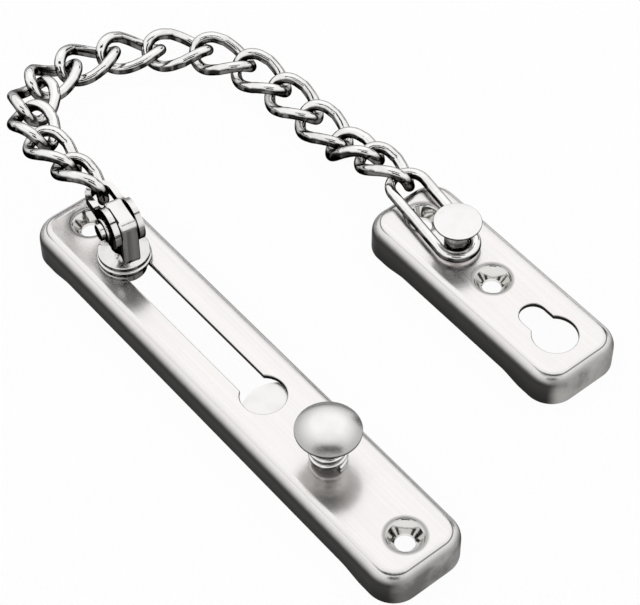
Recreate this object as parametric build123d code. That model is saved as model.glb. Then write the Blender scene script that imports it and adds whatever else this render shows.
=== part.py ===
from build123d import *
from math import asin, copysign, cos, degrees, radians, sin
import os

# Door chain: a slotted track plate with a captive slider, a twisted curb chain and a keeper plate
# with a stud. All lengths are millimetres and all angles degrees. The track plate lies along X with
# its back on z = 0 and its middle at the origin.

# Pressed plates
plate_width = 25.0
plate_height = 9.0
sheet = 1.2
edge_radius = 3.5        # outer radius of the rolled edge
corner_radius = 7.0      # corners in plan
side_relief = 1.1        # the long sides stand this far above the feet
foot_length = 11.0       # rim that rests on the door at each end
relief_slope = 5.0       # run of the curve from foot to side
relief_radius = 9.0
track_length = 140.0
keeper_length = 70.0

# Pressed screw seats
screw_hole = 4.9
seat_width = 9.0
seat_depth = 3.0
seat_floor = 0.9
seat_lip = 1.2
end_margin = 9.5         # screw hole to the end of its plate

# Slot in the track plate
slot_width = 7.2
entry_hole = 11.4
slot_margin = 23.5       # plate end to the slot's blind end
entry_margin = 60.8      # plate end to the entry hole
press_lip = 0.35         # rounding left by the press round slots

# Slider
slide_gap = 0.25         # play between the slider and the plate
bearing_gap = 0.08       # play in the swivel
slider_offset = 0.6      # slider's place along the slot from its blind end
foot_thickness = 1.8
flange_width = 13.7
flange_thickness = 1.4
stem_width = 4.0
tail_width = 6.6
tail_thickness = 0.9
base_width = 13.1
base_thickness = 1.3
cone_height = 1.5
cone_top = 6.4
lug_length = 10.6
lug_thickness = 4.3
lug_rise = 17.0          # lug's top above the plate
lug_crown = 2.2
lug_turn = -10.0

# Shackle and its rivet pin
pin_width = 3.0
pin_gap = 0.06
pin_rise = 12.6          # pin axis above the plate
pin_collar_width = 6.2
pin_collar = 1.0
pin_nose_width = 4.4
pin_nose = 1.3
pin_button_width = 4.8
pin_button = 1.0
strap = 1.5
strap_width = 2.8
eye_width = 10.6
eye_blend = 4.0
arm_gap = 0.35           # lug side to shackle arm
shackle_reach = 13.7     # pin axis to the inside of the bend
shackle_pitch = -4.0
shackle_play = 1.2       # slack between the bend and the first link

# Curb chain
link_wire = 3.0
link_pitch = 12.9
link_play = 0.7
link_width = 10.6        # between the wire centres of the two sides
link_tilt = 44.0         # each end is twisted this far out of the middle plane
link_fullness = 2.2      # 2 bends the wire to an ellipse, more to a fuller oval
headings = (180, 179, 159, 135, 109, 87, 69, 51, 25, 7, 1, -2, 1, 0)
rolls = (39, 25, 16, 8, 0, 0, 0, 0, 0, 0, 0, -5, -14, -24)
falls = (1.0, 0.924, 0.846, 0.688, 0.494, 0.278, 0.155, 0.005, 0.0, 0.0, 0.0, 0.0, 0.02, 0.303)

# End ring
ring_wire = 2.8
ring_length = 34.0
ring_width = 12.4
ring_heading = -8.0
ring_gap = 0.1           # ring above the plate it lies on
ring_overhang = 12.0     # ring past the plate end, less its reach round the stud

# Keeper plate
second_margin = 35.5     # plate end to the second screw hole
keyhole_width = 7.2
keyhole_entry = 11.4
keyhole_margin = 19.6    # other plate end to the keyhole's narrow end
keyhole_run = 7.6        # narrow end to round end
stud_neck = 6.2
stud_gap = 0.3
stud_shank = 5.0
stud_fit = 0.02          # play of the shank in its hole
stud_tail_width = 8.0
stud_tail = 1.1
stud_head = 12.1
stud_rise = 9.0          # plate to the underside of the head
stud_rim = 0.5
stud_dome = 0.5

# Press button, its spring and the latch plate
button_margin = 36.8     # plate end to the button
button_head = 15.8
button_rise = 11.0       # plate to the underside of the head
button_rim = 0.5
button_dome = 2.2
button_stem = 5.0
button_gap = 0.1
spigot_width = 3.6
rivet_width = 5.8
rivet = 0.8
spring_wire = 1.3
spring_width = 9.3
spring_turns = 4.5
spring_gap = 0.05
latch_width = 17.8
latch_thickness = 1.2
latch_gap = 0.1
latch_lap = 3.3          # tongue past the centre of the entry hole
latch_tail = 9.0
latch_corner = 3.0

# Levels and places that follow from the sizes
under = plate_height - sheet
screw_x = track_length / 2 - end_margin
slot_x = slot_margin - track_length / 2
entry_x = track_length / 2 - entry_margin
button_x = track_length / 2 - button_margin
slider_x = slot_x + slider_offset
foot_top = under - slide_gap
foot_bottom = foot_top - foot_thickness
flange_bottom = plate_height + slide_gap
flange_top = flange_bottom + flange_thickness
base_bottom = flange_top + bearing_gap
base_top = base_bottom + base_thickness
lug_top = plate_height + lug_rise
pin_z = plate_height + pin_rise
latch_top = under - latch_gap
latch_bottom = latch_top - latch_thickness
ring_z = plate_height + ring_gap + ring_wire / 2
stud_margin = ring_length - ring_overhang
stud_u = stud_margin - keeper_length / 2
first_u = end_margin - keeper_length / 2
second_u = second_margin - keeper_length / 2
keyhole_u = keeper_length / 2 - keyhole_margin


def turned(points):
    # Solid of revolution about Z from an outline of (radius, height) points.
    outline = Polyline(*[(r, 0, z) for r, z in points], close=True)
    return revolve(make_face(outline.edges()), Axis.Z)


def circles_at(solid, radius, level):
    # Circular edges of one radius at one height.
    rims = solid.edges().filter_by(GeomType.CIRCLE)
    return rims.filter_by(lambda e: abs(e.radius - radius) < 1e-4 and abs(e.center().Z - level) < 1e-4)


def pan(length):
    # Open-backed pressing: rolled edge, even wall, long sides relieved between the two feet.
    outer = extrude(RectangleRounded(length, plate_width, corner_radius), plate_height)
    outer = fillet(outer.faces().sort_by(Axis.Z)[-1].edges(), edge_radius)
    hollow = RectangleRounded(length - 2 * sheet, plate_width - 2 * sheet, corner_radius - sheet)
    inner = extrude(hollow, under)
    inner = fillet(inner.faces().sort_by(Axis.Z)[-1].edges(), edge_radius - sheet)
    foot = length / 2 - foot_length
    far = length / 2 + 1
    line = [(-far, 0, 0), (-foot, 0, 0), (relief_slope - foot, 0, side_relief)]
    line += [(foot - relief_slope, 0, side_relief), (foot, 0, 0), (far, 0, 0)]
    top = FilletPolyline(*line, radius=relief_radius)
    base = Polyline(line[-1], (far, 0, -1), (-far, 0, -1), line[0])
    relief = extrude(make_face(top.edges() + base.edges()), plate_width, dir=(0, 1, 0), both=True)
    return outer - inner - relief


def screw_seat(plate, x):
    # Countersunk seat pressed down into the sheet, with a clear hole in its floor.
    floor = plate_height - seat_depth
    bottom = floor - seat_floor
    hole = screw_hole / 2
    mouth = seat_width / 2
    cup = [(0, bottom), (hole + sheet, bottom), (mouth + sheet, under), (mouth + sheet, plate_height)]
    cup = turned(cup + [(0, plate_height)])
    wide = mouth + seat_lip
    flare = FilletPolyline((hole, 0, floor), (mouth, 0, plate_height), (wide, 0, plate_height), radius=seat_lip)
    closing = [(wide, 0, plate_height), (wide, 0, plate_height + 1), (0, 0, plate_height + 1)]
    closing = Polyline(*closing, (0, 0, bottom - 1), (hole, 0, bottom - 1), (hole, 0, floor))
    bore = revolve(make_face(flare.edges() + closing.edges()), Axis.Z)
    return plate + Pos(x, 0, 0) * cup - Pos(x, 0, 0) * bore


def keyhole(plate, narrow_x, narrow, round_x, wide):
    # Slot with a blind round end and a larger round entry, its upper rim eased.
    middle = (narrow_x + round_x) / 2
    shape = Pos(middle, 0) * Rectangle(abs(round_x - narrow_x), narrow)
    shape = shape + Pos(narrow_x, 0) * Circle(narrow / 2) + Pos(round_x, 0) * Circle(wide / 2)
    cutter = Pos(0, 0, under - 1) * extrude(shape, sheet + 2)
    cut = plate - cutter
    low = min(narrow_x - narrow / 2, round_x - wide / 2) - 0.1
    high = max(narrow_x + narrow / 2, round_x + wide / 2) + 0.1
    rim = cut.faces().sort_by(Axis.Z)[-1].inner_wires().edges()
    rim = rim.filter_by(lambda e: low < e.center().X < high)
    return fillet(rim, press_lip)


def pose(point, heading, pitch, roll=0.0):
    # Place whose x runs along a heading and pitch, with z rolled about that x.
    h = radians(heading)
    p = radians(pitch)
    r = radians(roll)
    along = Vector(cos(h) * cos(p), sin(h) * cos(p), sin(p))
    level = Vector(-sin(h), cos(h), 0)
    upward = along.cross(level)
    return Plane(origin=point, x_dir=along, z_dir=upward * cos(r) - level * sin(r)).location


def along(place, x):
    # Point on a place's x axis.
    return (place * Pos(x, 0, 0)).position


def bent_wire(path, wire):
    # Round wire along half of a closed path, completed by a half turn about Z.
    section = Plane(origin=path @ 0, z_dir=path % 0) * Circle(wire / 2)
    half = sweep(section, path=path)
    return half + Rot(0, 0, 180) * half


def curb_link():
    # Oval link twisted about its length, so that its two ends stand across each other.
    half = (link_pitch + link_play + link_wire) / 2
    wide = link_width / 2
    twist = radians(link_tilt) / half
    power = 2 / link_fullness
    points = []
    for angle in range(90, -91, -15):
        x = half * abs(cos(radians(angle))) ** power
        y = wide * copysign(abs(sin(radians(angle))) ** power, angle)
        points.append((x, y * cos(twist * x), -y * sin(twist * x)))
    path = Spline(*points, tangents=[(1, 0, -wide * twist), (-1, 0, -wide * twist)])
    return bent_wire(path, link_wire)


def oval_ring():
    # Flat ring with straight sides and half-round ends.
    half = (ring_width - ring_wire) / 2
    run = (ring_length - ring_width) / 2
    path = Line((0, half, 0), (run, half, 0)) + CenterArc((run, 0, 0), half, 90, -180)
    path = Wire((path + Line((run, -half, 0), (0, -half, 0))).edges())
    return bent_wire(path, ring_wire)


# Track plate
track_plate = pan(track_length)
track_plate = screw_seat(track_plate, -screw_x)
track_plate = screw_seat(track_plate, screw_x)
track_plate = keyhole(track_plate, slot_x, slot_width, entry_x, entry_hole)
stem_hole = Pos(button_x, 0, under - 1) * extrude(Circle(button_stem / 2 + button_gap), sheet + 2)
track_plate = track_plate - stem_hole

# Slider bush: foot below the sheet, neck in the slot, flange on top
bore_radius = stem_width / 2 + bearing_gap
foot_radius = entry_hole / 2 - slide_gap
neck_radius = slot_width / 2 - slide_gap
flange_radius = flange_width / 2
bush = [(bore_radius, foot_bottom), (foot_radius, foot_bottom), (foot_radius, foot_top)]
bush += [(neck_radius, foot_top), (neck_radius, flange_bottom), (flange_radius, flange_bottom)]
bush += [(flange_radius, flange_top), (bore_radius, flange_top)]
slider_bush = turned(bush)
rims = circles_at(slider_bush, flange_radius, flange_bottom) + circles_at(slider_bush, flange_radius, flange_top)
slider_bush = fillet(rims, flange_thickness * 0.35)
slider_bush = Pos(slider_x, 0, 0) * slider_bush

# Slider lug: slab on a coned round base, with a stem riveted under the bush
tail_top = foot_bottom - bearing_gap
body = [(0, tail_top - tail_thickness), (tail_width / 2, tail_top - tail_thickness), (tail_width / 2, tail_top)]
body += [(stem_width / 2, tail_top), (stem_width / 2, base_bottom), (base_width / 2, base_bottom)]
body += [(base_width / 2, base_top), (cone_top / 2, base_top + cone_height), (0, base_top + cone_height)]
lug_base = turned(body)
rims = circles_at(lug_base, base_width / 2, base_bottom) + circles_at(lug_base, base_width / 2, base_top)
lug_base = fillet(rims, base_thickness * 0.3)
slab_height = lug_top - base_top
slab = Pos(0, 0, base_top + slab_height / 2) * Box(lug_length, lug_thickness, slab_height)
slab = fillet(slab.faces().sort_by(Axis.Z)[-1].edges().filter_by(Axis.Y), lug_crown)
slab = chamfer(slab.edges().filter_by(Axis.Z), lug_thickness * 0.08)
pin_bore = Pos(0, 0, pin_z) * Rot(90, 0, 0) * Cylinder(pin_width / 2 + pin_gap, lug_thickness + 2)
slider_lug = lug_base + slab - pin_bore
slider_lug = Pos(slider_x, 0, 0) * Rot(0, 0, lug_turn) * slider_lug

# Shackle: U-shaped strap seen from above, cut to eyes and a narrow strip seen from the side
inner_half = lug_thickness / 2 + arm_gap
outer_half = inner_half + strap
bend_x = shackle_reach - inner_half
back = eye_width / 2
plan = Pos((bend_x - back) / 2, 0) * Rectangle(bend_x + back, 2 * outer_half) + Pos(bend_x, 0) * Circle(outer_half)
gap = Pos((bend_x - back) / 2 - 1, 0) * Rectangle(bend_x + back + 2, 2 * inner_half)
gap = gap + Pos(bend_x, 0) * Circle(inner_half)
bent = extrude(plan - gap, eye_width / 2, both=True)
strip_end = shackle_reach + strap + 1
side = Circle(eye_width / 2) + Pos(strip_end / 2, 0) * Rectangle(strip_end, strap_width)
necks = side.vertices().filter_by(lambda v: 0 < v.X < eye_width)
side = fillet(necks, eye_blend)
blank = extrude(Plane.XZ * side, outer_half + 1, both=True)
pin_hole = Rot(90, 0, 0) * Cylinder(pin_width / 2, 4 * outer_half)
shackle = (bent & blank) - pin_hole
pin_place = pose(Vector(slider_x, 0, pin_z), 180 + lug_turn, shackle_pitch)
shackle = pin_place * shackle

# Shackle pin: stepped head on one side, small riveted head on the other
grip = outer_half
pin = [(0, -grip - pin_button), (pin_width / 2, -grip - pin_button), (pin_button_width / 2, -grip - pin_button / 3)]
pin += [(pin_button_width / 2, -grip), (pin_width / 2, -grip), (pin_width / 2, grip)]
pin += [(pin_collar_width / 2, grip), (pin_collar_width / 2, grip + pin_collar)]
pin += [(pin_nose_width / 2, grip + pin_collar), (pin_nose_width / 2, grip + pin_collar + pin_nose)]
pin += [(0, grip + pin_collar + pin_nose)]
shackle_pin = turned(pin)
rims = circles_at(shackle_pin, pin_collar_width / 2, grip + pin_collar)
rims = rims + circles_at(shackle_pin, pin_nose_width / 2, grip + pin_collar + pin_nose)
shackle_pin = fillet(rims, pin_collar * 0.3)
shackle_pin = pin_place * Rot(-90, 0, 0) * shackle_pin

# Chain: each link hangs from the one before, down from the shackle to the surface and up to the ring
one_link = curb_link()
floor = one_link.bounding_box().max.Z
hang = along(pin_place, shackle_reach - shackle_play / 2)
levels = [floor + (hang.Z - floor) * f for f in falls] + [ring_z]
hinges = [hang]
places = []
links = []
for heading, roll, start, end in zip(headings, rolls, levels, levels[1:]):
    place = pose(hinges[-1], heading, degrees(asin((end - start) / link_pitch)), roll)
    middle = place * Pos(link_pitch / 2, 0, 0)
    places.append(middle)
    hinges.append(along(place, link_pitch))
    links.append(middle * one_link)

# End ring, lying on the keeper plate round the neck of the stud
ring_place = pose(hinges[-1], ring_heading, 0)
ring_middle = ring_place * Pos(ring_length / 2 - ring_wire - link_play / 2, 0, 0)
end_ring = ring_middle * oval_ring()
stud_point = along(ring_middle, ring_length / 2 - ring_wire - stud_gap - stud_neck / 2)

# Keeper plate, parallel to the track plate and placed by its stud
keeper_plate = pan(keeper_length)
keeper_plate = screw_seat(keeper_plate, first_u)
keeper_plate = screw_seat(keeper_plate, second_u)
keeper_plate = keyhole(keeper_plate, keyhole_u, keyhole_width, keyhole_u + keyhole_run, keyhole_entry)
rivet_hole = Pos(stud_u, 0, under - 1) * extrude(Circle(stud_shank / 2 + stud_fit), sheet + 2)
keeper_plate = keeper_plate - rivet_hole
keeper_place = Pos(stud_point.X - stud_u, stud_point.Y, 0)
keeper_plate = keeper_place * keeper_plate

# Keeper stud: neck and domed mushroom head above the plate, riveted tail below
head_low = plate_height + stud_rise
head_rim = head_low + stud_rim
shank = Polyline((0, 0, head_rim + stud_dome), (0, 0, under - stud_tail), (stud_tail_width / 2, 0, under - stud_tail))
tail = Polyline((stud_tail_width / 2, 0, under - stud_tail), (stud_tail_width / 2, 0, under), (stud_shank / 2, 0, under))
seat = Polyline((stud_shank / 2, 0, under), (stud_shank / 2, 0, plate_height), (stud_neck / 2, 0, plate_height))
neck = Polyline((stud_neck / 2, 0, plate_height), (stud_neck / 2, 0, head_low), (stud_head / 2, 0, head_low))
rim = Line((stud_head / 2, 0, head_low), (stud_head / 2, 0, head_rim))
crown = (stud_head / 4, 0, head_rim + stud_dome * 0.76)
dome = ThreePointArc((stud_head / 2, 0, head_rim), crown, (0, 0, head_rim + stud_dome))
outline = shank.edges() + tail.edges() + seat.edges() + neck.edges() + rim.edges() + dome.edges()
keeper_stud = revolve(make_face(outline), Axis.Z)
rims = circles_at(keeper_stud, stud_head / 2, head_rim) + circles_at(keeper_stud, stud_head / 2, head_low)
keeper_stud = fillet(rims, stud_rim * 0.4)
keeper_stud = Pos(stud_point.X, stud_point.Y, 0) * keeper_stud

# Press button: domed head and a stem riveted to the latch plate below
cap_low = plate_height + button_rise
cap_rim = cap_low + button_rim
rivet_low = latch_bottom - rivet
stem = Polyline((0, 0, cap_rim + button_dome), (0, 0, rivet_low), (rivet_width / 2, 0, rivet_low))
foot = Polyline((rivet_width / 2, 0, rivet_low), (rivet_width / 2, 0, latch_bottom), (spigot_width / 2, 0, latch_bottom))
spigot = Polyline((spigot_width / 2, 0, latch_bottom), (spigot_width / 2, 0, latch_top), (button_stem / 2, 0, latch_top))
post = Polyline((button_stem / 2, 0, latch_top), (button_stem / 2, 0, cap_low), (button_head / 2, 0, cap_low))
edge = Line((button_head / 2, 0, cap_low), (button_head / 2, 0, cap_rim))
crown = (button_head / 4, 0, cap_rim + button_dome * 0.77)
dome = ThreePointArc((button_head / 2, 0, cap_rim), crown, (0, 0, cap_rim + button_dome))
outline = stem.edges() + foot.edges() + spigot.edges() + post.edges() + edge.edges() + dome.edges()
press_button = revolve(make_face(outline), Axis.Z)
rims = circles_at(press_button, button_head / 2, cap_rim) + circles_at(press_button, button_head / 2, cap_low)
press_button = fillet(rims, button_rim * 0.3)
press_button = Pos(button_x, 0, 0) * press_button

# Return spring between the plate and the button's head
spring_low = plate_height + spring_gap + spring_wire / 2
spring_height = button_rise - 2 * spring_gap - spring_wire
coil = Helix(spring_height / spring_turns, spring_height, (spring_width - spring_wire) / 2)
spring_section = Plane(origin=coil @ 0, z_dir=coil % 0) * Circle(spring_wire / 2)
return_spring = Pos(button_x, 0, spring_low) * sweep(spring_section, path=coil)

# Latch plate: its round tongue closes most of the entry hole from below
tongue_x = entry_x - latch_lap
nose_x = tongue_x + latch_width / 2
end_x = button_x + latch_tail
blade = Pos((nose_x + end_x) / 2, 0) * Rectangle(end_x - nose_x, latch_width)
blade = fillet(blade.vertices().group_by(Axis.X)[-1], latch_corner)
blade = blade + Pos(nose_x, 0) * Circle(latch_width / 2) - Pos(button_x, 0) * Circle(spigot_width / 2)
latch_plate = Pos(0, 0, latch_bottom) * extrude(blade, latch_thickness)

nodes = {
    "track_plate": track_plate,
    "slider_bush": slider_bush,
    "slider_lug": slider_lug,
    "shackle": shackle,
    "shackle_pin": shackle_pin,
    "end_ring": end_ring,
    "keeper_plate": keeper_plate,
    "keeper_stud": keeper_stud,
    "press_button": press_button,
    "return_spring": return_spring,
    "latch_plate": latch_plate,
}
for number, link in enumerate(links, 1):
    nodes[f"link_{number:02d}"] = link

os.makedirs("parts", exist_ok=True)
for name, solid in nodes.items():
    solid.label = name
    export_step(solid, f"parts/{name}.step")
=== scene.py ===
import math

import bpy
import numpy as np
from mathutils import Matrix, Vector


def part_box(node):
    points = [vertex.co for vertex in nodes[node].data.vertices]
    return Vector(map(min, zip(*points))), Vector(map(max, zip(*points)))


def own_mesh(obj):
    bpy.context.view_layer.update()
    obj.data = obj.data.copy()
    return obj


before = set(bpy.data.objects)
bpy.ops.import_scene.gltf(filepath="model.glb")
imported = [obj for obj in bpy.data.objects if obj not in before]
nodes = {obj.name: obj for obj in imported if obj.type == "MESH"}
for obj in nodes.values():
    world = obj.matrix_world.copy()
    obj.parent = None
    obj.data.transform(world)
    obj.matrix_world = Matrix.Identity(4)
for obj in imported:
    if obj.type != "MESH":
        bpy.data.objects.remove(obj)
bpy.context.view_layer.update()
print("frame loaded:", len(nodes), "pieces")

scene = bpy.context.scene
scene.view_settings.view_transform = "Standard"


# camera: where the photograph was taken from

shot = {
    "azimuth": 50.55,          # degrees round from the front, towards +X
    "elevation": 50.86,
    "distance": 0.5778,
    "target": (-0.00956, 0.03273, 0.0),
    "lens": 130.7,             # millimetres, for the sensor's width below
    "sensor": 36,
    "clip": (0.01, 40),
}


def placeCamera(shot):
    a, e = math.radians(shot["azimuth"]), math.radians(shot["elevation"])
    back = Vector((math.sin(a) * math.cos(e), -math.cos(a) * math.cos(e), math.sin(e)))
    data = bpy.data.cameras.new("photoCamera")
    data.lens = shot["lens"]
    data.sensor_width = shot["sensor"]
    data.sensor_fit = "HORIZONTAL"
    data.clip_start, data.clip_end = shot["clip"]
    cam = bpy.data.objects.new("photoCamera", data)
    cam.location = Vector(shot["target"]) + back * shot["distance"]
    cam.rotation_mode = "QUATERNION"
    cam.rotation_quaternion = (-back).to_track_quat("-Z", "Y")
    scene.collection.objects.link(cam)
    scene.camera = cam


placeCamera(shot)
print("camera placed")


# node helpers

def newMaterial(name):
    mat = bpy.data.materials.new(name)
    mat.use_nodes = True
    tree = mat.node_tree
    tree.nodes.clear()
    out = tree.nodes.new("ShaderNodeOutputMaterial")
    return mat, tree, out


def newGroup(name, inputs, outputs):
    group = bpy.data.node_groups.new(name, "ShaderNodeTree")
    for label, kind, value in inputs:
        socket = group.interface.new_socket(label, in_out="INPUT", socket_type="NodeSocket" + kind)
        if value is not None:
            socket.default_value = value
    for label, kind in outputs:
        group.interface.new_socket(label, in_out="OUTPUT", socket_type="NodeSocket" + kind)
    return group, group.nodes.new("NodeGroupInput"), group.nodes.new("NodeGroupOutput")


def feed(tree, socket, value):
    # a number or a colour is set on the socket itself, and another node's output is linked to it
    if isinstance(value, (int, float)):
        socket.default_value = value
    elif isinstance(value, tuple):
        socket.default_value = (*value, 1)
    else:
        tree.links.new(value, socket)


def addMath(tree, operation, a, b=None, c=None, clamp=False):
    node = tree.nodes.new("ShaderNodeMath")
    node.operation = operation
    node.use_clamp = clamp
    for socket, value in zip(node.inputs, (a, b, c)):
        if value is not None:
            feed(tree, socket, value)
    return node.outputs[0]


def addRange(tree, value, low, high, toLow=0.0, toHigh=1.0, smooth=True):
    node = tree.nodes.new("ShaderNodeMapRange")
    node.interpolation_type = "SMOOTHSTEP" if smooth else "LINEAR"
    feed(tree, node.inputs["Value"], value)
    feed(tree, node.inputs["From Min"], low)
    feed(tree, node.inputs["From Max"], high)
    feed(tree, node.inputs["To Min"], toLow)
    feed(tree, node.inputs["To Max"], toHigh)
    return node.outputs["Result"]


def addMix(tree, factor, a, b, blend="MIX"):
    node = tree.nodes.new("ShaderNodeMix")
    node.data_type = "RGBA"
    node.blend_type = blend
    for socket, value in ((node.inputs[0], factor), (node.inputs[6], a), (node.inputs[7], b)):
        feed(tree, socket, value)
    return node.outputs[2]


def addMixValue(tree, factor, a, b):
    node = tree.nodes.new("ShaderNodeMix")
    for socket, value in ((node.inputs[0], factor), (node.inputs[2], a), (node.inputs[3], b)):
        feed(tree, socket, value)
    return node.outputs[0]


def addNoise(tree, vector, scale, detail=2.0, rough=0.5):
    node = tree.nodes.new("ShaderNodeTexNoise")
    feed(tree, node.inputs["Vector"], vector)
    feed(tree, node.inputs["Scale"], scale)
    feed(tree, node.inputs["Detail"], detail)
    feed(tree, node.inputs["Roughness"], rough)
    return node.outputs["Fac"]


def addMapping(tree, vector, scale=(1, 1, 1), rotation=(0, 0, 0)):
    node = tree.nodes.new("ShaderNodeMapping")
    node.inputs["Scale"].default_value = scale
    node.inputs["Rotation"].default_value = rotation
    feed(tree, node.inputs["Vector"], vector)
    return node.outputs["Vector"]


def addSplit(tree, vector):
    node = tree.nodes.new("ShaderNodeSeparateXYZ")
    feed(tree, node.inputs[0], vector)
    return node.outputs


def addGroup(tree, group, **values):
    node = tree.nodes.new("ShaderNodeGroup")
    node.node_tree = group
    for name, value in values.items():
        feed(tree, node.inputs[name], value)
    return node


def addSteel(tree, out, tone, rough, height, spec):
    bump = tree.nodes.new("ShaderNodeBump")
    feed(tree, bump.inputs["Strength"], spec["bump"])
    feed(tree, bump.inputs["Distance"], spec["bumpDepth"])
    feed(tree, bump.inputs["Height"], height)
    steel = tree.nodes.new("ShaderNodeBsdfPrincipled")
    feed(tree, steel.inputs["Metallic"], 1)
    feed(tree, steel.inputs["Specular Tint"], spec["edge"])
    feed(tree, steel.inputs["Base Color"], tone)
    feed(tree, steel.inputs["Roughness"], rough)
    feed(tree, steel.inputs["Normal"], bump.outputs["Normal"])
    feed(tree, out.inputs["Surface"], steel.outputs[0])


# shared effects

brushMarks = {
    "scale": 2600.0,
    "stretch": (0.012, 1, 1),      # the brushing runs along X
    "fineDetail": 3,
    "fineShare": 0.6,
    "broadScale": 620,
    "broadShare": 0.4,
    "cloudScale": 70,
    "cloudDetail": 4,
    "cloudRough": 0.6,
}


def makeBrushing(spec):
    # fine lines along X: noise stretched nearly a hundredfold, in two widths, plus a slow cloud
    group, inn, out = newGroup("brushing",
                               [("Vector", "Vector", None), ("Scale", "Float", spec["scale"])],
                               [("Lines", "Float"), ("Cloud", "Float")])
    place = inn.outputs["Vector"]
    stretched = addMapping(group, place, scale=spec["stretch"])
    fine = addNoise(group, stretched, inn.outputs["Scale"], spec["fineDetail"])
    broad = addMath(group, "MULTIPLY", addNoise(group, stretched, spec["broadScale"]), spec["broadShare"])
    feed(group, out.inputs["Lines"], addMath(group, "MULTIPLY_ADD", fine, spec["fineShare"], broad))
    cloud = addNoise(group, place, spec["cloudScale"], spec["cloudDetail"], spec["cloudRough"])
    feed(group, out.inputs["Cloud"], cloud)
    return group


handMarks = {
    "scale": 240.0,
    "detail": 4,
    "blotch": (0.42, 0.68),        # noise where a finger mark begins, and where it is full
    "scratchStretch": (1, 0.08, 1),
    "scratchTurn": (0.4, 0.3, 0.7),
    "scratchScale": 1500,
    "scratchWidth": 0.02,
}


def makeHandling(spec):
    # finger marks and hairline scratches: a soft blotch, and thin ridges where a stretched noise
    # crosses its middle
    group, inn, out = newGroup("handling",
                               [("Vector", "Vector", None), ("Scale", "Float", spec["scale"])],
                               [("Smudge", "Float"), ("Scratch", "Float")])
    place = inn.outputs["Vector"]
    blotch = addNoise(group, place, inn.outputs["Scale"], spec["detail"])
    feed(group, out.inputs["Smudge"], addRange(group, blotch, *spec["blotch"]))
    turned = addMapping(group, place, scale=spec["scratchStretch"], rotation=spec["scratchTurn"])
    thin = addNoise(group, turned, spec["scratchScale"])
    ridge = addMath(group, "ABSOLUTE", addMath(group, "SUBTRACT", thin, 0.5))
    feed(group, out.inputs["Scratch"], addRange(group, ridge, 0.0, spec["scratchWidth"], 1.0, 0.0))
    return group


sideMarks = {
    "under": (-0.35, -0.8),        # height of the normal where an underside begins, and where it is full
    "streakStretch": (1, 1, 0.05),
    "streakScale": 330,
    "streak": (0.42, 0.6),
}


def makeSideShade(spec):
    # mask of faces that look sideways: 0 where the height of the normal is over Start, 1 under Stop,
    # 0 again on faces that look straight down, with the boundary made uneven by a noise
    group, inn, out = newGroup("sideShade",
                               [("Vector", "Vector", None), ("Normal", "Vector", None),
                                ("Start", "Float", 0.9), ("Stop", "Float", 0.1),
                                ("Uneven", "Float", 0.1), ("Scale", "Float", 200.0)],
                               [("Mask", "Float"), ("Streak", "Float")])
    place = inn.outputs["Vector"]
    height = addSplit(group, inn.outputs["Normal"])["Z"]
    wave = addMath(group, "SUBTRACT", addNoise(group, place, inn.outputs["Scale"]), 0.5)
    up = addMath(group, "MULTIPLY_ADD", wave, inn.outputs["Uneven"], height)
    mask = addRange(group, up, inn.outputs["Start"], inn.outputs["Stop"])
    under = addRange(group, height, *spec["under"], 1.0, 0.0)
    feed(group, out.inputs["Mask"], addMath(group, "MULTIPLY", mask, under))
    upright = addMapping(group, place, scale=spec["streakStretch"])
    streak = addNoise(group, upright, spec["streakScale"])
    feed(group, out.inputs["Streak"], addRange(group, streak, *spec["streak"]))
    return group


brushing = makeBrushing(brushMarks)
handling = makeHandling(handMarks)
sideShade = makeSideShade(sideMarks)
print("effects built")


# materials

plateFinish = {
    "top": (0.89, 0.866, 0.856),       # satin stainless
    "wall": (0.046, 0.045, 0.0435),    # painted shade on the drawn sides
    "start": 0.93,                     # height of the normal where the sides begin, and where they are full
    "stop": 0.32,
    "uneven": 0.06,
    "sideScale": 420.0,
    "endWall": (0.43, 0.42, 0.405),    # the ends catch more light
    "endTurn": (0.6, 0.95),            # how far a face looks along the plate to count as an end
    "endMottle": (0.36, 0.62, 0.3, 1.0),
    "endDim": 0.8,                     # how much of the painted side shade climbs the roll at the ends
    "endRoll": (0.985, 0.5),           # height of the normal where that begins, and where it is full
    "endReach": (0.006, 0.002),        # and how far from the end of the plate
    "foot": 0.55,                      # painted shade towards the foot: how much is left of the wall's colour there
    "endFoot": 0.95,
    "footRun": (0.0064, 0.0006),       # heights where it begins to darken, and where it is darkest
    "footPatch": 0.004,                # how far these heights wander
    "cut": (0.014, 0.014, 0.013),      # painted shade, near black, on the sheared edges of slots and holes
    "cutSteep": (0.55, 0.3),
    "cutRun": (0.0069, 0.0074),
    "seats": {                         # screw seats, by their distance from the middle of the plate
        "track_plate": (-0.0605, 0.0605),
        "keeper_plate": (-0.0255, 0.0005),
    },
    "seat": (0.80, 0.79, 0.77),        # burnished
    "seatRadius": 0.0049,
    "seatEdge": 0.0004,
    "lipWidth": 0.0008,                # rounded lip round each seat, darkened with painted shade
    "lipShade": 0.55,
    "pressLine": 0.00868,              # height of the crease that the press leaves on the rolled edge
    "pressWidth": (0.00003, 0.00011),
    "pressShade": 0.75,
    "pressDepth": 3.0,                 # in depths of the brushing
    "pressRun": 0.010,                 # it shows most within this of the ends
    "pressSide": 0.14,                 # what is left of it along the sides
    "grain": (0.3, 0.7, 0.955, 1.03),  # brushed lines from, to, and the tones that they give
    "brush": 0.1,
    "smudge": 0.05,
    "smudgeScale": 120.0,
    "roughness": 0.17,
    "wallRoughness": 0.36,
    "seatRoughness": 0.10,
    "edge": (0.55, 0.55, 0.55),        # tint at a glancing angle
    "bump": 0.4,
    "bumpDepth": 0.000012,
}


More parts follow.
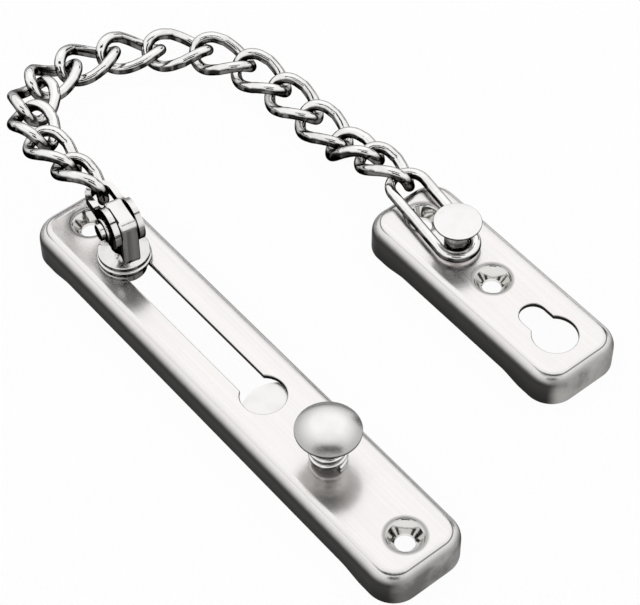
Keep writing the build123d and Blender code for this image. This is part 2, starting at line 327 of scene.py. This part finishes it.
def makePlateFinish(name, node, spec):
    mat, tree, out = newMaterial(name)
    low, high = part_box(node)
    middle, reach = (low + high) / 2, (high.x - low.x) / 2
    coord = tree.nodes.new("ShaderNodeTexCoord")
    place, normal = coord.outputs["Object"], coord.outputs["Normal"]
    spot, facing = addSplit(tree, place), addSplit(tree, normal)
    brushed = addGroup(tree, brushing, Vector=place)
    lines, cloud = brushed.outputs["Lines"], brushed.outputs["Cloud"]
    marks = addGroup(tree, handling, Vector=place, Scale=spec["smudgeScale"])
    side = addGroup(tree, sideShade, Vector=place, Normal=normal, Start=spec["start"], Stop=spec["stop"],
                    Uneven=spec["uneven"], Scale=spec["sideScale"]).outputs["Mask"]

    # sides: painted shade on the roll and the wall, sooner and lighter at the ends, darker towards the foot
    fromEnd = addMath(tree, "ABSOLUTE", addMath(tree, "SUBTRACT", spot["X"], middle.x))
    far, close = spec["endReach"]
    nearEnd = addRange(tree, fromEnd, reach - far, reach - close, 0.0, spec["endDim"])
    rolled = addMath(tree, "MULTIPLY", addRange(tree, facing["Z"], *spec["endRoll"]), nearEnd)
    side = addMath(tree, "MAXIMUM", side, rolled)
    facesEnd = addRange(tree, addMath(tree, "ABSOLUTE", facing["X"]), *spec["endTurn"])
    mottle = addRange(tree, cloud, *spec["endMottle"])
    wall = addMix(tree, addMath(tree, "MULTIPLY", facesEnd, mottle), spec["wall"], spec["endWall"])
    tone = addMix(tree, side, spec["top"], wall)
    patchy = addMath(tree, "MULTIPLY_ADD", cloud, spec["footPatch"], -spec["footPatch"] / 2)
    sunk = addRange(tree, addMath(tree, "ADD", spot["Z"], patchy), *spec["footRun"])
    depth = addRange(tree, facesEnd, 0.0, 1.0, 1 - spec["foot"], 1 - spec["endFoot"])
    shade = addMath(tree, "SUBTRACT", 1.0, addMath(tree, "MULTIPLY", sunk, depth))
    tone = addMix(tree, 1.0, tone, shade, "MULTIPLY")

    # painted shade on the sheared faces of the slot and the holes
    steep = addRange(tree, addMath(tree, "ABSOLUTE", facing["Z"]), *spec["cutSteep"])
    shear = addMath(tree, "MULTIPLY", steep, addRange(tree, spot["Z"], *spec["cutRun"]))
    tone = addMix(tree, shear, tone, spec["cut"])

    # screw seats, and painted shade on their lips, by the distance from the nearest seat seen from above
    flat = addMapping(tree, place, scale=(1, 1, 0))
    near = None
    for along in spec["seats"][node]:
        away = tree.nodes.new("ShaderNodeVectorMath")
        away.operation = "DISTANCE"
        away.inputs[1].default_value = (middle.x + along, middle.y, 0)
        feed(tree, away.inputs[0], flat)
        gap = away.outputs["Value"]
        near = gap if near is None else addMath(tree, "MINIMUM", near, gap)
    seat = addRange(tree, near, spec["seatRadius"], spec["seatRadius"] - spec["seatEdge"])
    tone = addMix(tree, seat, tone, spec["seat"])
    fromLip = addMath(tree, "ABSOLUTE", addMath(tree, "SUBTRACT", near, spec["seatRadius"]))
    paintedLip = addRange(tree, fromLip, 0.0, spec["lipWidth"], spec["lipShade"], 0.0)
    tone = addMix(tree, paintedLip, tone, spec["wall"])

    # crease of the press: a bump, and painted shade along it
    crease = addMath(tree, "ABSOLUTE", addMath(tree, "SUBTRACT", spot["Z"], spec["pressLine"]))
    crease = addRange(tree, crease, *spec["pressWidth"], 1.0, 0.0)
    crease = addMath(tree, "MULTIPLY", crease, addMath(tree, "SUBTRACT", 1.0, seat))
    run = spec["pressRun"]
    ends = addRange(tree, fromEnd, reach - run, reach - run / 2, spec["pressSide"], 1.0)
    crease = addMath(tree, "MULTIPLY", crease, ends)
    tone = addMix(tree, addMath(tree, "MULTIPLY", crease, spec["pressShade"]), tone, spec["wall"])

    # brushing
    grain = addRange(tree, lines, *spec["grain"], smooth=False)
    tone = addMix(tree, 1.0, tone, grain, "MULTIPLY")
    rough = addMath(tree, "MULTIPLY_ADD", lines, spec["brush"], spec["roughness"])
    rough = addMath(tree, "MULTIPLY_ADD", marks.outputs["Smudge"], spec["smudge"], rough)
    rough = addMixValue(tree, side, rough, spec["wallRoughness"])
    rough = addMixValue(tree, seat, rough, spec["seatRoughness"])
    relief = addMath(tree, "MULTIPLY_ADD", crease, -spec["pressDepth"], lines)
    addSteel(tree, out, tone, rough, relief, spec)
    return mat


wireFinish = {
    "bright": (0.94, 0.935, 0.925),
    "smudged": (0.85, 0.84, 0.83),
    "flankShade": (0.018, 0.018, 0.017),    # painted shade on the sides of the wire
    "glint": (0.17, 0.167, 0.163),     # painted glints streaked through that shade
    "start": 0.74,                     # height of the normal where the sides begin, and where they are full
    "stop": 0.42,
    "uneven": 0.3,
    "sideScale": 300.0,
    "roughness": 0.04,
    "smudge": 0.05,
    "scratch": 0.05,
    "edge": (0.08, 0.08, 0.08),        # tint at a glancing angle
    "bump": 0.12,
    "bumpDepth": 0.000015,
}
fittingFinish = dict(
    wireFinish, bright=(0.88, 0.87, 0.86), smudged=(0.80, 0.79, 0.78), flankShade=(0.02, 0.02, 0.022),
    glint=(0.16, 0.155, 0.15), start=0.6, stop=0.1, uneven=0.15, roughness=0.07, smudge=0.08,
    scratch=0.06, edge=(0.2, 0.2, 0.2))
knobFinish = dict(
    wireFinish, bright=(0.90, 0.885, 0.88), smudged=(0.87, 0.855, 0.85), flankShade=(0.03, 0.03, 0.03),
    glint=(0.08, 0.08, 0.08), start=0.84, stop=0.6, uneven=0.02, roughness=0.22, smudge=0.04,
    scratch=0.03, edge=(0.25, 0.25, 0.25))
springFinish = dict(
    wireFinish, bright=(0.84, 0.83, 0.82), smudged=(0.70, 0.69, 0.68), flankShade=(0.03, 0.03, 0.03),
    glint=(0.5, 0.49, 0.48), start=0.45, stop=0.1, uneven=0.15, roughness=0.1, smudge=0.08,
    edge=(0.15, 0.15, 0.15))
latchFinish = dict(
    wireFinish, bright=(0.89, 0.87, 0.86), smudged=(0.86, 0.84, 0.83), flankShade=(0.06, 0.06, 0.06),
    glint=(0.1, 0.1, 0.1), start=0.7, stop=0.3, uneven=0.05, roughness=0.3, scratch=0.04,
    edge=(0.3, 0.3, 0.3))
headShade = {
    "rim": (0.50, 0.495, 0.49),        # painted shade, darker towards the rim of a domed head
    "rimRoll": (0.985, 0.86),          # height of the normal where that begins, and where it is full
    "stem": (0.70, 0.69, 0.68),        # the turned shank under a head, and the bands round it, as painted reflection streaks
    "stemShadeBand": (0.34, 0.335, 0.33),
    "stemBelow": 0.0178,
    "stemFade": 0.0004,
}


def makePolish(name, spec, head=None):
    mat, tree, out = newMaterial(name)
    coord = tree.nodes.new("ShaderNodeTexCoord")
    place, normal = coord.outputs["Object"], coord.outputs["Normal"]
    marks = addGroup(tree, handling, Vector=place)
    smudge, scratch = marks.outputs["Smudge"], marks.outputs["Scratch"]
    side = addGroup(tree, sideShade, Vector=place, Normal=normal, Start=spec["start"], Stop=spec["stop"],
                    Uneven=spec["uneven"], Scale=spec["sideScale"])
    tone = addMix(tree, smudge, spec["bright"], spec["smudged"])
    # painted shade on the sides, streaked with painted glints
    paintedShade = addMix(tree, side.outputs["Streak"], spec["flankShade"], spec["glint"])
    if head:
        # painted shade, darker towards the rim of a domed head
        rim = addRange(tree, addSplit(tree, normal)["Z"], *head["rimRoll"])
        tone = addMix(tree, rim, tone, head["rim"])
        # under the head, painted reflection streaks on the shank take the place of the side shade
        below = head["stemBelow"]
        shank = addRange(tree, addSplit(tree, place)["Z"], below, below - head["stemFade"])
        streaked = addMix(tree, side.outputs["Streak"], head["stemShadeBand"], head["stem"])
        paintedShade = addMix(tree, shank, paintedShade, streaked)
    tone = addMix(tree, side.outputs["Mask"], tone, paintedShade)
    rough = addMath(tree, "MULTIPLY_ADD", smudge, spec["smudge"], spec["roughness"])
    rough = addMath(tree, "MULTIPLY_ADD", scratch, spec["scratch"], rough)
    addSteel(tree, out, tone, rough, scratch, spec)
    return mat


wireSteel = makePolish("wireSteel", wireFinish)
fittingSteel = makePolish("fittingSteel", fittingFinish)
knobSteel = makePolish("knobSteel", knobFinish, headShade)
finishes = {
    "track_plate": makePlateFinish("longPlate", "track_plate", plateFinish),
    "keeper_plate": makePlateFinish("shortPlate", "keeper_plate", plateFinish),
    "press_button": knobSteel,
    "keeper_stud": knobSteel,
    "return_spring": makePolish("springSteel", springFinish),
    "latch_plate": makePolish("latchSteel", latchFinish),
    "end_ring": wireSteel,
}


def dress(node, mat):
    obj = nodes[node]
    if not obj.data.materials:
        obj.data.materials.append(mat)
    for slot in obj.material_slots:
        slot.material = mat


for node in nodes:
    dress(node, finishes.get(node, wireSteel if node.startswith("link_") else fittingSteel))
print("pieces dressed")


def shortenSpring(node):
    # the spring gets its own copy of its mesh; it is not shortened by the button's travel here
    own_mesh(nodes[node])


shortenSpring("return_spring")


# floor and light

stageSet = {
    "floorRadius": 9.0,
    "floorSides": 96,
    "floorDrop": 0.00005,     # a hair under the plates
    "floorTone": 0.9,
    "floorClear": 0.96,       # how far the eye and the metal see through it, to a white card below
    "cardDrop": 0.9,          # how far down that card lies, so that pieces under the floor show
    "flagTone": 0.015,
    "flagRadius": 2.4,
    "flagSteps": 12,
    "flags": (                # degrees round from, to, and up from, to
        (-160, -60, 0.3, 6),
        (-179, -161, 5, 23),
        (28, 74, 36, 58),
    ),
    "overCard": {"height": 2.4, "start": 0.24, "stop": 0.87, "half": 1.1},   # on the camera's side
    "worldTone": 0.95,
    "softbox": {"direction": (-0.47, 0.40, 0.79), "distance": 1.5, "size": (1.4, 1.1), "radiance": 0.12},
}


def addStagePiece(name, points, faces, mat):
    mesh = bpy.data.meshes.new(name)
    mesh.from_pydata(points.tolist(), [], faces)
    mesh.materials.append(mat)
    obj = bpy.data.objects.new(name, mesh)
    scene.collection.objects.link(obj)


def makeDisc(name, spec, height, mat):
    # rim(u) = radius * (cos u, sin u) at one height, as one many-sided face
    u = np.linspace(0, 2 * np.pi, spec["floorSides"], endpoint=False)
    rim = np.stack([np.cos(u), np.sin(u), 0 * u], 1) * spec["floorRadius"] + (0, 0, height)
    addStagePiece(name, rim, [list(range(spec["floorSides"]))], mat)


def makeFloor(spec):
    mat, tree, out = newMaterial("paleFloor")
    matte = tree.nodes.new("ShaderNodeBsdfDiffuse")
    feed(tree, matte.inputs["Color"], (spec["floorTone"],) * 3)
    clear = tree.nodes.new("ShaderNodeBsdfTransparent")
    path = tree.nodes.new("ShaderNodeLightPath")
    seen = addMath(tree, "ADD", path.outputs["Is Camera Ray"], path.outputs["Is Glossy Ray"])
    seen = addMath(tree, "ADD", seen, path.outputs["Is Transmission Ray"], clamp=True)
    mix = tree.nodes.new("ShaderNodeMixShader")
    feed(tree, mix.inputs[0], addMath(tree, "MULTIPLY", seen, spec["floorClear"]))
    feed(tree, mix.inputs[1], matte.outputs[0])
    feed(tree, mix.inputs[2], clear.outputs[0])
    feed(tree, out.inputs["Surface"], mix.outputs[0])
    makeDisc("floor", spec, -spec["floorDrop"], mat)
    white, tree, out = newMaterial("whiteCard")
    glow = tree.nodes.new("ShaderNodeEmission")
    feed(tree, glow.inputs["Strength"], 1)
    feed(tree, out.inputs["Surface"], glow.outputs[0])
    makeDisc("whiteCard", spec, -spec["cardDrop"], white)


def makeFlags(spec):
    # black cards standing round the table: point(u, v) = radius * (sin u, -cos u, tan v)
    mat, tree, out = newMaterial("blackCard")
    matte = tree.nodes.new("ShaderNodeBsdfDiffuse")
    feed(tree, matte.inputs["Color"], (spec["flagTone"],) * 3)
    feed(tree, out.inputs["Surface"], matte.outputs[0])
    steps = spec["flagSteps"]
    sheets = []
    for start, stop, low, high in spec["flags"]:
        u = np.radians(np.linspace(start, stop, steps + 1))
        u, v = np.meshgrid(u, np.radians([low, high]), indexing="ij")
        sheets.append(np.stack([np.sin(u), -np.cos(u), np.tan(v)], -1) * spec["flagRadius"])
    # and one flat card above it: point(u, v) = u * across + v * along + height
    over = spec["overCard"]
    a = math.radians(shot["azimuth"])
    u = np.linspace(-over["half"], over["half"], steps + 1)
    u, v = np.meshgrid(u, [over["start"], over["stop"]], indexing="ij")
    x = u * math.cos(a) + v * math.sin(a)
    y = u * math.sin(a) - v * math.cos(a)
    sheets.append(np.stack([x, y, 0 * u + over["height"]], -1))
    i = np.arange(steps) * 2
    faces = np.stack([i, i + 2, i + 3, i + 1], 1).tolist()
    for k, points in enumerate(sheets):
        addStagePiece("flag%d" % k, points.reshape(-1, 3), faces, mat)


def makeWorld(spec):
    world = bpy.data.worlds.new("paleRoom")
    scene.world = world
    world.use_nodes = True
    back = world.node_tree.nodes["Background"]
    feed(world.node_tree, back.inputs["Color"], (spec["worldTone"],) * 3)
    feed(world.node_tree, back.inputs["Strength"], 1)


def addSoftbox(name, spec):
    # an area lamp whose face shines at the given brightness: watts = radiance * pi * area
    wide, high = spec["size"]
    data = bpy.data.lights.new(name, "AREA")
    data.shape = "RECTANGLE"
    data.size, data.size_y = wide, high
    data.energy = spec["radiance"] * math.pi * wide * high
    lamp = bpy.data.objects.new(name, data)
    d = Vector(spec["direction"]).normalized()
    lamp.location = d * spec["distance"]
    lamp.rotation_mode = "QUATERNION"
    lamp.rotation_quaternion = (-d).to_track_quat("-Z", "Y")
    scene.collection.objects.link(lamp)


makeFloor(stageSet)
makeFlags(stageSet)
makeWorld(stageSet)
addSoftbox("farSoftbox", stageSet["softbox"])
print("stage lit")
